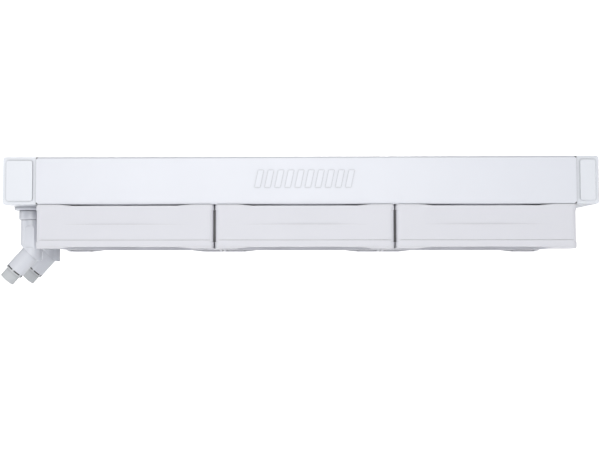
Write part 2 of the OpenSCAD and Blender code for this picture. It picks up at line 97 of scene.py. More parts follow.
def addNode(nodes, links, kind, values=None, give=0, **settings):
    # gives one output of the new node, or the node itself where give is None
    node = nodes.new(kind)
    for name, value in settings.items():
        setattr(node, name, value)
    feedAll(links, node, values or {})
    return node if give is None else node.outputs[give]


def mathNode(nodes, links, kind, a, b=None, clamp=False):
    return addNode(nodes, links, "ShaderNodeMath", {0: a, 1: b}, operation=kind, use_clamp=clamp)


def newMaterial(name):
    material = bpy.data.materials.new(name)
    material.use_nodes = True
    nodes, links = material.node_tree.nodes, material.node_tree.links
    return material, nodes, links, nodes["Principled BSDF"]


# camera, light and stage

cameraLook = {
    "place": (-0.0160, -0.7096, -0.0761),
    "turn": 1.35,          # degrees to the left
    "tilt": 2.67,          # degrees upwards
    "lens": 58.8,
    "sensor": 36,
    "shift": 0.071,
    "near": 0.02,
    "far": 50,
}


def addCamera(look):
    data = bpy.data.cameras.new("productCamera")
    data.lens = look["lens"]
    data.sensor_width = look["sensor"]
    data.shift_x = look["shift"]
    data.clip_start, data.clip_end = look["near"], look["far"]
    camera = addObject("productCamera", data)
    camera.location = look["place"]
    camera.rotation_euler = (math.radians(90 + look["tilt"]), 0, math.radians(look["turn"]))
    scene.camera = camera


lightAim = (0, 0, -0.04)
lightLook = {
    # name: place, size, watts
    "frontSoftbox": ((-0.14, -2.4, 0.42), (1.3, 0.8), 29),
    "leftFill": ((-2.2, -0.3, 0.5), (0.8, 0.8), 10),
    "rightFill": ((2.2, -0.3, 0.1), (0.8, 0.8), 5),
    "backSoftbox": ((-0.5, 2.3, 0.1), (1.3, 0.8), 12),
    "topFill": ((0, 2.0, 1.4), (1.2, 0.6), 22),
}


def addLights(lights, aim):
    for name, (place, size, watts) in lights.items():
        data = bpy.data.lights.new(name, "AREA")
        data.shape = "RECTANGLE"
        data.size, data.size_y = size
        data.energy = watts
        lamp = addObject(name, data)
        lamp.location = place
        lamp.rotation_euler = (Vector(aim) - Vector(place)).to_track_quat("-Z", "Y").to_euler()


worldLook = {"seen": 1.0, "lit": 0.2}  # strength to the eye, and as a light


def addWorld(look):
    # the room is white to the eye and much dimmer as a light
    world = bpy.data.worlds.new("paleRoom")
    world.use_nodes = True
    scene.world = world
    nodes, links = world.node_tree.nodes, world.node_tree.links
    nodes.clear()
    add = partial(addNode, nodes, links)
    lit, seen = (add("ShaderNodeBackground", {"Color": (1, 1, 1, 1), "Strength": look[k]}) for k in ("lit", "seen"))
    path = add("ShaderNodeLightPath", give="Is Camera Ray")
    add("ShaderNodeOutputWorld", {0: add("ShaderNodeMixShader", {0: path, 1: lit, 2: seen})}, give=None)


stageLook = {
    # metres, then the number of steps in the bend
    "drop": 0.22, "back": 2.2, "side": 4.0, "wall": 1.8, "bend": 0.9, "steps": 14,
    "color": (0.62, 0.62, 0.63, 1), "rough": 0.9, "glow": 0.36,
}


def addStage(look):
    # a pale floor that bends up into a wall behind
    z0, bend = cadBox[0].z - look["drop"], look["bend"]
    line = [(-look["side"], z0)]
    for i in range(look["steps"] + 1):
        a = math.pi / 2 * i / look["steps"]
        line.append((look["back"] + bend * math.sin(a), z0 + bend * (1 - math.cos(a))))
    line.append((look["back"] + bend, z0 + bend + look["wall"]))
    bm = bmesh.new()
    rows = [[bm.verts.new((s * look["side"], y, z)) for y, z in line] for s in (-1, 1)]
    for i in range(len(line) - 1):
        bm.faces.new((rows[0][i], rows[1][i], rows[1][i + 1], rows[0][i + 1]))
    mesh = meshOf(bm, "paleFloor")
    mesh.shade_smooth()
    floor = addObject("paleFloor", mesh)
    material, nodes, links, shader = newMaterial("paleFloor")
    # the floor glows fully to the eye, and less as a light
    path = addNode(nodes, links, "ShaderNodeLightPath", give="Is Camera Ray")
    glow = addNode(nodes, links, "ShaderNodeMath", {0: path, 1: 1 - look["glow"], 2: look["glow"]},
                   operation="MULTIPLY_ADD")
    feedAll(links, shader, {"Base Color": look["color"], "Roughness": look["rough"],
                            "Emission Color": (1, 1, 1, 1), "Emission Strength": glow})
    mesh.materials.append(material)


addCamera(cameraLook)
addWorld(worldLook)
addLights(lightLook, lightAim)
addStage(stageLook)
scene.view_settings.view_transform = "Standard"
print("camera, lights and floor placed")


# shared effects, each a node group

def newGroup(kind, name, inputs, outputs):
    group = bpy.data.node_groups.new(name, kind)
    for socketName, socketKind, value in inputs:
        socket = group.interface.new_socket(socketName, in_out="INPUT", socket_type="NodeSocket" + socketKind)
        if value is not None:
            socket.default_value = value
    for socketName, socketKind in outputs:
        group.interface.new_socket(socketName, in_out="OUTPUT", socket_type="NodeSocket" + socketKind)
    nodes = group.nodes
    return group, nodes, group.links, nodes.new("NodeGroupInput").outputs, nodes.new("NodeGroupOutput")


def mixColor(nodes, links, factor, a, b):
    return addNode(nodes, links, "ShaderNodeMix", {0: factor, 6: a, 7: b}, give=2, data_type="RGBA")


def noiseNode(nodes, links, scale, detail=3.0, roughness=0.55):
    place = addNode(nodes, links, "ShaderNodeTexCoord", give="Object")
    return addNode(nodes, links, "ShaderNodeTexNoise",
                   {"Vector": place, "Scale": scale, "Detail": detail, "Roughness": roughness})


def makeGrainGroup(patchScale=35.0):
    # fine moulded or sprayed grain over slower waves; gives a height and a roughness
    group, nodes, links, given, out = newGroup(
        "ShaderNodeTree", "surfaceGrain",
        [("Grain Scale", "Float", 2500.0), ("Wave Scale", "Float", 220.0), ("Wave Share", "Float", 0.5),
         ("Roughness", "Float", 0.4), ("Spread", "Float", 0.1)],
        [("Height", "Float"), ("Roughness", "Float")])
    calc, noise = partial(mathNode, nodes, links), partial(noiseNode, nodes, links)
    wave = calc("MULTIPLY", noise(given["Wave Scale"], 2.0, 0.4), given["Wave Share"])
    height = calc("ADD", noise(given["Grain Scale"], 2.0), wave)
    patches = calc("MULTIPLY", calc("SUBTRACT", noise(patchScale, 4.0, 0.6), 0.5), given["Spread"])
    feedAll(links, out, {"Height": height, "Roughness": calc("ADD", patches, given["Roughness"], True)})
    return group


edgeLook = {"samples": 4, "gain": 6.0, "breakScale": 420.0, "breakShare": 0.9, "breakFloor": 0.3}


def makeEdgeGroup(look):
    # a rounded normal differs from the true one near an edge; there the edge colour is mixed in, a painted
    # highlight where it is lighter and painted shade where it is darker
    group, nodes, links, given, out = newGroup(
        "ShaderNodeTree", "edgeHighlightAndShade",
        [("Color", "Color", (0.8, 0.8, 0.8, 1)), ("Edge Color", "Color", (0.9, 0.9, 0.9, 1)),
         ("Amount", "Float", 0.3), ("Width", "Float", 0.0005)],
        [("Color", "Color"), ("Mask", "Float")])
    add, calc = partial(addNode, nodes, links), partial(mathNode, nodes, links)
    rounded = add("ShaderNodeBevel", {"Radius": given["Width"]}, samples=look["samples"])
    normal = add("ShaderNodeNewGeometry", give="Normal")
    alike = add("ShaderNodeVectorMath", {0: rounded, 1: normal}, give="Value", operation="DOT_PRODUCT")
    edge = calc("MULTIPLY", calc("SUBTRACT", 1.0, alike), look["gain"], True)
    broken = calc("MULTIPLY", noiseNode(nodes, links, look["breakScale"], 4.0, 0.65), look["breakShare"])
    broken = calc("ADD", broken, look["breakFloor"], True)
    mask = calc("MULTIPLY", calc("MULTIPLY", edge, broken), given["Amount"])
    feedAll(links, out, {"Color": mixColor(nodes, links, mask, given["Color"], given["Edge Color"]), "Mask": mask})
    return group


def makeCreviceGroup(samples=6):
    # painted shade: ambient occlusion darkens the colour where surfaces meet and in recesses
    group, nodes, links, given, out = newGroup(
        "ShaderNodeTree", "creviceShade",
        [("Color", "Color", (0.8, 0.8, 0.8, 1)), ("Grime Color", "Color", (0.3, 0.3, 0.33, 1)),
         ("Reach", "Float", 0.002), ("Amount", "Float", 0.8)],
        [("Color", "Color"), ("Mask", "Float")])
    calc = partial(mathNode, nodes, links)
    openness = addNode(nodes, links, "ShaderNodeAmbientOcclusion", {"Distance": given["Reach"]}, give="AO",
                       samples=samples)
    mask = calc("MULTIPLY", calc("SUBTRACT", 1.0, openness, True), given["Amount"], True)
    feedAll(links, out, {"Color": mixColor(nodes, links, mask, given["Color"], given["Grime Color"]), "Mask": mask})
    return group


dustLook = {
    "driftScale": 14.0, "speckScale": 1800.0, "speckLevel": 0.52, "speckGain": 5.0,
    "color": (0.62, 0.61, 0.59, 1),
}


def makeDustGroup(look):
    # slow tint drift, and a thin film of dust on what faces up
    group, nodes, links, given, out = newGroup(
        "ShaderNodeTree", "tintAndDust",
        [("Color", "Color", (0.8, 0.8, 0.8, 1)), ("Shade Color", "Color", (0.7, 0.7, 0.72, 1)),
         ("Drift", "Float", 0.2), ("Dust", "Float", 0.1)],
        [("Color", "Color"), ("Mask", "Float")])
    add, calc, noise = (partial(f, nodes, links) for f in (addNode, mathNode, noiseNode))
    drift = calc("MULTIPLY", noise(look["driftScale"], 3.0, 0.5), given["Drift"])
    tinted = mixColor(nodes, links, drift, given["Color"], given["Shade Color"])
    up = add("ShaderNodeSeparateXYZ", {0: add("ShaderNodeNewGeometry", give="Normal")}, give="Z")
    specks = calc("SUBTRACT", noise(look["speckScale"], 2.0, 0.6), look["speckLevel"], True)
    specks = calc("MULTIPLY", specks, look["speckGain"], True)
    mask = calc("MULTIPLY", calc("MULTIPLY", calc("MULTIPLY", up, 1.0, True), specks), given["Dust"])
    feedAll(links, out, {"Color": mixColor(nodes, links, mask, tinted, look["color"]), "Mask": mask})
    return group


grainGroup = makeGrainGroup()
edgeGroup = makeEdgeGroup(edgeLook)
creviceGroup = makeCreviceGroup()
dustGroup = makeDustGroup(dustLook)


# finishes

finishes = {
    # base, shade and edge colours (the edge colour is painted highlight or painted shade); roughness and its
    # spread;
    # metal and coat where there is any; grain and wave scales per metre, the waves' share, bump in mm; reach in mm
    # and amount of painted crevice shade where not as in the shared settings below
    # the grey edge colour of rail and tank paint is painted shade: a darker line along the edges and the top bend
    "railPaint": dict(base=(0.775, 0.795, 0.855), shade=(0.735, 0.755, 0.81), edge=(0.50, 0.51, 0.54),
                      rough=0.42, spread=0.10, coat=0.15, grain=2300, wave=260, share=1.0, bump=0.012),
    # tank paint's longer reach and full amount: painted shade in the recessed border round the cap panel
    "tankPaint": dict(base=(0.795, 0.82, 0.87), shade=(0.75, 0.78, 0.83), edge=(0.50, 0.51, 0.54),
                      rough=0.40, spread=0.10, coat=0.2, grain=2300, wave=300, share=1.2, bump=0.014,
                      reach=4.0, crevice=1.0),
    "corePaint": dict(base=(0.72, 0.73, 0.75), shade=(0.60, 0.61, 0.64), edge=(0.80, 0.80, 0.82),
                      rough=0.5, spread=0.2, grain=3000, wave=500, share=0.6, bump=0.010),
    "bareAluminium": dict(base=(0.72, 0.73, 0.74), shade=(0.55, 0.56, 0.58), edge=(0.85, 0.85, 0.86),
                          rough=0.34, spread=0.25, metal=1.0, grain=5200, wave=900, share=0.4, bump=0.005),
    "platedSteel": dict(base=(0.62, 0.62, 0.64), shade=(0.45, 0.46, 0.49), edge=(0.80, 0.80, 0.81),
                        rough=0.28, spread=0.25, metal=1.0, grain=6000, wave=700, share=0.4, bump=0.004),
    "padRubber": dict(base=(0.76, 0.765, 0.81), shade=(0.68, 0.69, 0.73), edge=(0.80, 0.80, 0.83),
                      rough=0.72, spread=0.12, grain=5200, wave=700, share=0.5, bump=0.014),
    # fan plastic's near-white edge colour is a painted highlight along the edges and the side crease
    "fanPlastic": dict(base=(0.745, 0.75, 0.80), shade=(0.69, 0.70, 0.75), edge=(0.97, 0.97, 0.98),
                       rough=0.48, spread=0.08, grain=6500, wave=320, share=0.5, bump=0.010),
    "bladePlastic": dict(base=(0.80, 0.805, 0.85), shade=(0.74, 0.75, 0.80), edge=(0.86, 0.86, 0.90),
                         rough=0.36, spread=0.08, coat=0.1, grain=6500, wave=260, share=0.6, bump=0.006),
    "bronzeSinter": dict(base=(0.42, 0.27, 0.12), shade=(0.28, 0.17, 0.08), edge=(0.60, 0.42, 0.2),
                         rough=0.5, spread=0.3, metal=1.0, grain=4200, wave=900, share=0.2, bump=0.02),
    "ferriteMagnet": dict(base=(0.035, 0.035, 0.038), shade=(0.02, 0.02, 0.022), edge=(0.09, 0.09, 0.095),
                          rough=0.62, spread=0.2, grain=5000, wave=800, share=0.3, bump=0.012),
    "nylonClip": dict(base=(0.72, 0.69, 0.58), shade=(0.6, 0.57, 0.47), edge=(0.8, 0.78, 0.7),
                      rough=0.45, spread=0.1, grain=5000, wave=500, share=0.3, bump=0.006),
    # fitting plastic's long reach: painted shade that darkens the upright and the rear fitting under the tank and
    # beside the fan
    "fittingPlastic": dict(base=(0.71, 0.73, 0.78), shade=(0.63, 0.65, 0.71), edge=(0.86, 0.87, 0.90),
                           rough=0.38, spread=0.10, coat=0.3, grain=4200, wave=420, share=0.9, bump=0.008,
                           reach=26.0, crevice=0.8),
    "ferrulePlastic": dict(base=(0.60, 0.62, 0.64), shade=(0.44, 0.46, 0.48), edge=(0.74, 0.74, 0.75),
                           rough=0.55, spread=0.12, grain=3800, wave=600, share=0.6, bump=0.012),
    "sealRubber": dict(base=(0.022, 0.022, 0.023), shade=(0.012, 0.012, 0.013), edge=(0.05, 0.05, 0.05),
                       rough=0.5, spread=0.15, grain=5000, wave=600, share=0.3, bump=0.006),
    "darkPlastic": dict(base=(0.028, 0.028, 0.031), shade=(0.016, 0.016, 0.018), edge=(0.08, 0.08, 0.085),
                        rough=0.42, spread=0.12, grain=5000, wave=500, share=0.3, bump=0.006),
}
# dust and drift are real marks; the edge amount is painted highlight and shade along edges; the crevice amount,
# reach and darkening level set painted shade where surfaces meet
marksAndPaintedLight = {
    # edgeWidth and reach in mm, the others as shares
    "edge": 0.55, "edgeWidth": 0.7, "drift": 0.5, "dust": 0.10,
    "crevice": 0.85, "reach": 2.2, "paintedShadeLevel": 0.32, "coatRough": 0.25,
}


def rgba(color):
    return (*color, 1.0)


def addBump(nodes, links, shader, height, depth):
    normal = addNode(nodes, links, "ShaderNodeBump", {"Height": height, "Distance": depth * mm})
    links.new(normal, shader.inputs["Normal"])


def makeFinish(name, look):
    material, nodes, links, shader = newMaterial(name)
    add = partial(addNode, nodes, links, "ShaderNodeGroup")
    color = add({"Color": rgba(look["base"]), "Shade Color": rgba(look["shade"]), "Drift": marksAndPaintedLight["drift"],
                 "Dust": marksAndPaintedLight["dust"]}, give="Color", node_tree=dustGroup)
    # painted highlight or painted shade along edges, from each finish's edge colour
    color = add({"Color": color, "Edge Color": rgba(look["edge"]), "Amount": marksAndPaintedLight["edge"],
                 "Width": marksAndPaintedLight["edgeWidth"] * mm}, give="Color", node_tree=edgeGroup)
    # painted shade in creases, recesses and between parts, mixed towards a darkened shade colour
    color = add({"Color": color, "Grime Color": rgba([marksAndPaintedLight["paintedShadeLevel"] * v for v in look["shade"]]),
                 "Reach": look.get("reach", marksAndPaintedLight["reach"]) * mm,
                 "Amount": look.get("crevice", marksAndPaintedLight["crevice"])}, give="Color", node_tree=creviceGroup)
    grain = add({"Grain Scale": look["grain"], "Wave Scale": look["wave"], "Wave Share": look["share"],
                 "Roughness": look["rough"], "Spread": look["spread"]}, give=None, node_tree=grainGroup)
    feedAll(links, shader, {"Base Color": color, "Roughness": grain.outputs["Roughness"],
                            "Metallic": look.get("metal", 0.0), "Coat Weight": look.get("coat", 0.0),
                            "Coat Roughness": marksAndPaintedLight["coatRough"]})
    addBump(nodes, links, shader, grain.outputs["Height"], look["bump"])
    return material


boardLook = {
    "mask": (0.012, 0.075, 0.035), "trace": (0.03, 0.15, 0.07), "laneScale": 150.0, "waviness": 6.0,
    "laneLevel": 0.6, "rough": 0.3, "coat": 0.4, "bump": 0.02,
}


def makeBoardFinish(look):
    # lacquered board with copper lanes under the lacquer
    material, nodes, links, shader = newMaterial("circuitBoard")
    place = addNode(nodes, links, "ShaderNodeTexCoord", give="Object")
    lanes = addNode(nodes, links, "ShaderNodeTexWave",
                    {"Vector": place, "Scale": look["laneScale"], "Distortion": look["waviness"]}, give="Fac")
    mask = mathNode(nodes, links, "GREATER_THAN", lanes, look["laneLevel"])
    feedAll(links, shader, {"Base Color": mixColor(nodes, links, mask, rgba(look["mask"]), rgba(look["trace"])),
                            "Roughness": look["rough"], "Coat Weight": look["coat"]})
    addBump(nodes, links, shader, mask, look["bump"])
    return material


windingLook = {
    "wire": 0.35,          # mm
    "pairsPerScale": 3.14,  # about how many bright and dark pairs a metre of the wave has at a scale of one
    "bright": (0.62, 0.27, 0.12), "dark": (0.20, 0.07, 0.03), "metal": 0.9, "rough": 0.3, "bump": 0.08,
}


def makeWindingFinish(look):
    # fine rings like turns of enamelled wire
    material, nodes, links, shader = newMaterial("copperWinding")
    place = addNode(nodes, links, "ShaderNodeTexCoord", give="Object")
    pairs = 0.5 / (look["wire"] * mm)
    turns = addNode(nodes, links, "ShaderNodeTexWave", {"Vector": place, "Scale": pairs / look["pairsPerScale"]},
                    give="Fac", wave_type="RINGS", rings_direction="Z")
    feedAll(links, shader, {"Base Color": mixColor(nodes, links, turns, rgba(look["dark"]), rgba(look["bright"])),
                            "Metallic": look["metal"], "Roughness": look["rough"]})
    addBump(nodes, links, shader, turns, look["bump"])
    return material


finish = {name: makeFinish(name, look) for name, look in finishes.items()}
finish["circuitBoard"] = makeBoardFinish(boardLook)
finish["copperWinding"] = makeWindingFinish(windingLook)
print("finishes made:", len(finish))


# which node wears which finish

nodeFinish = {
    "front_rail": "railPaint", "rear_rail": "railPaint", "port_bosses": "railPaint",
    "port_tank": "tankPaint", "return_tank": "tankPaint",
    "port_tank_caps": "tankPaint", "return_tank_caps": "tankPaint",
    "port_header": "corePaint", "return_header": "corePaint", "tank_baffle": "bareAluminium",
    "coolant_tubes": "corePaint", "fin_rows": "corePaint",
    "fill_plug": "platedSteel", "fan_screws": "platedSteel", "fan_pads": "padRubber",
    # fan_links: black link strips that also stand in for the shade in the gaps between the fans
    "corner_seals": "sealRubber", "fan_links": "darkPlastic",
}
for side in fanSides:
    nodeFinish.update({
        side + "_fan_frame": "fanPlastic", side + "_fan_board": "circuitBoard",
        side + "_fan_stator": "platedSteel", side + "_fan_windings": "copperWinding",
        side + "_fan_bearing": "bronzeSinter", side + "_fan_impeller": "bladePlastic",
        side + "_fan_yoke": "platedSteel", side + "_fan_magnet": "ferriteMagnet",
        side + "_fan_shaft": "platedSteel", side + "_fan_clip": "nylonClip",
    })
for side in portSides:
    nodeFinish.update({
        side + "_neck": "fittingPlastic", side + "_elbow": "fittingPlastic",
        side + "_o_ring": "sealRubber", side + "_hose_tail": "bareAluminium",
        side + "_lock_ring": "darkPlastic", side + "_ferrule": "ferrulePlastic",
    })
bodyOf = {n: body for body, names in frame["record"]["behaviour"]["bodies"].items() for n in names}


def wearFinish(obj, name):
    obj.data.materials.clear()
    obj.data.materials.append(finish[name])


for nodeName, obj in frame["nodes"].items():
    wearFinish(obj, nodeFinish[nodeName])


# softened copies: the same shape with its loose triangles joined and its sharp edges rounded

softEdges = {
    # node: bevel width in mm, segments
    "front_rail": (0.3, 2), "rear_rail": (0.3, 2), "port_tank": (0.35, 2), "return_tank": (0.35, 2),
    "port_tank_caps": (0.42, 3), "return_tank_caps": (0.42, 3), "port_bosses": (0.25, 2),
    "fan_pads": (0.3, 2), "fill_plug": (0.2, 2),
}
softEdges.update({side + "_fan_frame": (0.3, 2) for side in fanSides})
softEdges.update({side + "_elbow": (0.35, 3) for side in portSides})
softEdges.update({side + "_neck": (0.25, 2) for side in portSides})
softEdges.update({side + "_ferrule": (0.12, 2) for side in portSides})
softLook = {"merge": 0.004, "flatAngle": 0.6, "sharpAngle": 35, "faceWeight": 60}  # mm, degrees, percent


def meshFrom(obj, name):
    # the evaluated result as a plain mesh on a new object
    graph = bpy.context.evaluated_depsgraph_get()
    mesh = bpy.data.meshes.new_from_object(obj.evaluated_get(graph))
    mesh.name = name
    return addObject(name, mesh)


def standFor(piece, nodeName):
    wearFinish(piece, nodeFinish[nodeName])
    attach(piece, bodyOf[nodeName])
    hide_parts(nodeName)


def softenedCopy(nodeName, width, segments, look):
    mesh = frame["nodes"][nodeName].data.copy()
    bm = bmesh.new()
    bm.from_mesh(mesh)
    bmesh.ops.remove_doubles(bm, verts=bm.verts, dist=look["merge"] * mm)
    bmesh.ops.dissolve_limit(bm, angle_limit=math.radians(look["flatAngle"]), verts=bm.verts, edges=bm.edges)
    bm.to_mesh(mesh)
    bm.free()
    mesh.shade_smooth()
    draft = addObject("draft", mesh)
    bevel = draft.modifiers.new("soften", "BEVEL")
    bevel.width = width * mm
    bevel.segments = segments
    bevel.limit_method = "ANGLE"
    bevel.angle_limit = math.radians(look["sharpAngle"])
    bevel.use_clamp_overlap = True
    bevel.miter_outer = "MITER_SHARP"
    level = draft.modifiers.new("level", "WEIGHTED_NORMAL")  # wide faces stay flat beside their bevels
    level.weight = look["faceWeight"]
    piece = meshFrom(draft, "soft_" + nodeName)
    bpy.data.objects.remove(draft)
    standFor(piece, nodeName)


for nodeName, (width, segments) in softEdges.items():
    softenedCopy(nodeName, width, segments, softLook)
print("softened copies:", len(softEdges))


# geometry node helpers

def newTree(name, inputs):
    inputs = [("Geometry", "Geometry", None)] + inputs + [("Material", "Material", None)]
    return newGroup("GeometryNodeTree", name, inputs, [("Geometry", "Geometry")])


def vectorNode(nodes, links, x=0.0, y=0.0, z=0.0):
    return addNode(nodes, links, "ShaderNodeCombineXYZ", {"X": x, "Y": y, "Z": z})


def endTree(nodes, links, given, out, instances):
    # every tree ends as real meshes with their material on
    real = addNode(nodes, links, "GeometryNodeRealizeInstances", {0: instances})
    dress = addNode(nodes, links, "GeometryNodeSetMaterial", {"Geometry": real, "Material": given["Material"]})
    links.new(dress, out.inputs[0])


def runTree(tree, name, values):
    # a tree on an empty mesh, with each input set by its identifier, becomes a plain mesh
    holder = addObject("holder", bpy.data.meshes.new("holder"))
    modifier = holder.modifiers.new("build", "NODES")
    modifier.node_group = tree
    for item in tree.interface.items_tree:
        if item.in_out == "INPUT" and item.name in values:
            modifier[item.identifier] = values[item.name]
    made = meshFrom(holder, name)
    bpy.data.objects.remove(holder)
    return made


def smoothUpTo(mesh, degrees):
    mesh.shade_smooth()
    mesh.set_sharp_from_angle(angle=math.radians(degrees))


# the fins: folded strips between the coolant tubes

finLook = {
    # fold, thickness, tubeWidth and weld in mm
    "fold": 2.6, "samples": 8, "thickness": 0.09, "sharpness": 0.97, "rows": 13,
    "tubeWidth": 2.0, "play": 2.4,        # play at the tubes, in thicknesses
    "weld": 0.001, "sharpAngle": 50,
}


def makeFinTree(weld):
    tree, nodes, links, given, out = newTree("foldedFins", [
        ("Length", "Float", 0.358), ("Height", "Float", 0.024), ("Width", "Float", 0.007),
        ("Fold", "Float", 0.0026), ("Samples", "Int", 1000), ("Sharpness", "Float", 0.97),
        ("Thickness", "Float", 0.0001), ("Rows", "Int", 13), ("Row Pitch", "Float", 0.0092),
        ("Centre", "Vector", (0, 0, 0))])
    add, calc, vector = (partial(f, nodes, links) for f in (addNode, mathNode, vectorNode))
    grid = add("GeometryNodeMeshGrid", {"Size X": given["Length"], "Size Y": given["Height"],
                                        "Vertices X": given["Samples"], "Vertices Y": 2})
    place = add("ShaderNodeSeparateXYZ", {0: add("GeometryNodeInputPosition")}, give=None).outputs
    turn = calc("MULTIPLY", calc("DIVIDE", place["X"], given["Fold"]), 2 * math.pi)
    # a sine pushed towards a zigzag
    wave = calc("ARCSINE", calc("MULTIPLY", calc("SINE", turn), given["Sharpness"]))
    wave = calc("DIVIDE", wave, calc("ARCSINE", given["Sharpness"]))
    side = calc("MULTIPLY", wave, calc("MULTIPLY", given["Width"], 0.5))
    fold = add("GeometryNodeSetPosition", {"Geometry": grid, "Position": vector(place["X"], side, place["Y"])})
    skin = add("GeometryNodeExtrudeMesh", {"Mesh": fold, "Individual": False, "Offset Scale": given["Thickness"]})
    both = add("GeometryNodeJoinGeometry", {0: [skin, add("GeometryNodeFlipFaces", {"Mesh": fold})]})
    welded = add("GeometryNodeMergeByDistance", {"Geometry": both, "Distance": weld})
    span = calc("MULTIPLY", calc("SUBTRACT", given["Rows"], 1.0), calc("MULTIPLY", given["Row Pitch"], -0.5))
    start = add("ShaderNodeVectorMath", {0: vector(y=span), 1: given["Centre"]}, operation="ADD")
    rows = add("GeometryNodeMeshLine", {"Count": given["Rows"], "Offset": vector(y=given["Row Pitch"]),
                                        "Start Location": start}, mode="OFFSET")
    endTree(nodes, links, given, out, add("GeometryNodeInstanceOnPoints", {"Points": rows, "Instance": welded}))
    return tree


def addFins(look):
    low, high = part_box("fin_rows")
    tubeLow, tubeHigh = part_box("coolant_tubes")
    tubes = look["rows"] - 1
    tubeWidth, fold, thickness = (look[k] * mm for k in ("tubeWidth", "fold", "thickness"))
    pitch = (tubeHigh.y - tubeLow.y - tubeWidth) / (tubes - 1)
    length = high.x - low.x
    fins = runTree(makeFinTree(look["weld"] * mm), "foldedFins", {
        "Length": length, "Height": high.z - low.z, "Width": pitch - tubeWidth - look["play"] * thickness,
        "Fold": fold, "Samples": int(length / fold * look["samples"]), "Sharpness": look["sharpness"],
        "Thickness": thickness, "Rows": look["rows"], "Row Pitch": pitch, "Centre": (low + high) / 2,
        "Material": finish["corePaint"]})
    smoothUpTo(fins.data, look["sharpAngle"])
    standFor(fins, "fin_rows")
    print("fins:", len(fins.data.polygons), "faces")


addFins(finLook)


# fan screws: dished heads with a cross recess

screwLook = {
    # mm, apart from the sides, the share of the head's radius at the top of its dome, and the angle
    "headRadius": 2.8, "headHeight": 2.0, "headSides": 36, "dome": 0.45, "domeShare": 0.78,
    "shankRadius": 1.47, "shankLift": 0.5, "recess": 0.75, "recessLength": 3.3, "recessDepth": 1.2,
    "sharpAngle": 30,
}


def makeScrewTree(domeShare, shankLift):
    tree, nodes, links, given, out = newTree("fanScrews", [
        ("Fans", "Int", 3), ("Fan Pitch", "Float", 0.12), ("Square", "Float", 0.105),
        ("Head Radius", "Float", 0.0028), ("Head Height", "Float", 0.002), ("Shank Radius", "Float", 0.00147),
        ("Length", "Float", 0.03), ("Recess Width", "Float", 0.0008), ("Recess Length", "Float", 0.0033),
        ("Recess Depth", "Float", 0.0012), ("Dome", "Float", 0.0004), ("Sides", "Int", 36),
        ("Base", "Float", -0.061)])
    add, calc, vector = (partial(f, nodes, links) for f in (addNode, mathNode, vectorNode))

    def cylinder(radius, depth, low):
        body = add("GeometryNodeMeshCylinder", {"Vertices": given["Sides"], "Radius": radius, "Depth": depth})
        lift = vector(z=calc("ADD", calc("MULTIPLY", depth, 0.5), low))
        return add("GeometryNodeTransform", {"Geometry": body, "Translation": lift})

    def recessBar(x, y):
        return add("GeometryNodeMeshCube", {"Size": vector(x, y, calc("MULTIPLY", given["Recess Depth"], 2.0))})

    rim = calc("SUBTRACT", given["Head Height"], given["Dome"])
    head = cylinder(given["Head Radius"], rim, given["Dome"])
    cone = add("GeometryNodeMeshCone", {
        "Vertices": given["Sides"], "Radius Top": calc("MULTIPLY", given["Head Radius"], domeShare),
        "Radius Bottom": given["Head Radius"], "Depth": given["Dome"]})
    cap = add("GeometryNodeTransform", {"Geometry": cone, "Rotation": (math.pi, 0, 0),
                                        "Translation": vector(z=given["Dome"])})
    shank = cylinder(given["Shank Radius"], given["Length"], shankLift)
    solid = add("GeometryNodeMeshBoolean", {"Mesh 2": [head, cap, shank]}, operation="UNION", solver="EXACT")
    wide, narrow = given["Recess Length"], given["Recess Width"]
    screw = add("GeometryNodeMeshBoolean", {
        "Mesh 1": solid, "Mesh 2": [recessBar(wide, narrow), recessBar(narrow, wide)]},
        operation="DIFFERENCE", solver="EXACT")
    first = calc("MULTIPLY", calc("SUBTRACT", given["Fans"], 1.0), calc("MULTIPLY", given["Fan Pitch"], -0.5))
    fans = add("GeometryNodeMeshLine", {"Count": given["Fans"], "Offset": vector(given["Fan Pitch"]),
                                        "Start Location": vector(x=first, z=given["Base"])}, mode="OFFSET")
    square = add("GeometryNodeMeshGrid", {"Size X": given["Square"], "Size Y": given["Square"],
                                          "Vertices X": 2, "Vertices Y": 2})
    corners = add("GeometryNodeInstanceOnPoints", {"Points": fans, "Instance": square})
    points = add("GeometryNodeRealizeInstances", {0: corners})
    endTree(nodes, links, given, out, add("GeometryNodeInstanceOnPoints", {"Points": points, "Instance": screw}))
    return tree


def addScrews(look):
    low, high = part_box("fan_screws")
    leftJoint, middleJoint = (j["pos_m"][0] for j in frame["joints"][:2])
    headRadius, shankLift = look["headRadius"] * mm, look["shankLift"] * mm
    screws = runTree(makeScrewTree(look["domeShare"], shankLift), "fanScrews", {
        "Fans": len(fanSides), "Fan Pitch": middleJoint - leftJoint, "Square": high.y - low.y - 2 * headRadius,
        "Head Radius": headRadius, "Head Height": look["headHeight"] * mm,
        "Shank Radius": look["shankRadius"] * mm, "Length": high.z - low.z - shankLift,
        "Recess Width": look["recess"] * mm, "Recess Length": look["recessLength"] * mm,
        "Recess Depth": look["recessDepth"] * mm, "Dome": look["dome"] * mm,
        "Sides": look["headSides"], "Base": low.z, "Material": finish["platedSteel"]})
    smoothUpTo(screws.data, look["sharpAngle"])
    standFor(screws, "fan_screws")
    print("screws:", len(screws.data.polygons), "faces")


addScrews(screwLook)


# impellers: twisted blades round a turned hub

bladeLook = {
    "count": 9, "chordSteps": 14, "spanSteps": 16,
    "rootArc": 30.0, "tipArc": 30.0,      # degrees of arc that a blade covers at the hub and at the tip
    "sweep": 9.0, "sweepStart": 0.35,     # degrees that the tip leads the hub, and how far back the root lies
    "rootRise": 17.5, "tipRise": 14.0,    # mm of height from leading to trailing edge
    "cornerPower": 14.0, "cornerCut": 0.16,  # how late and how much the chord shortens at the tip
    "camber": 1.6, "thickness": 1.7, "edgeThickness": 0.55,
    "rootSink": 0.8, "tipTrim": 0.1, "drop": 0.1, "sharpAngle": 40,
}


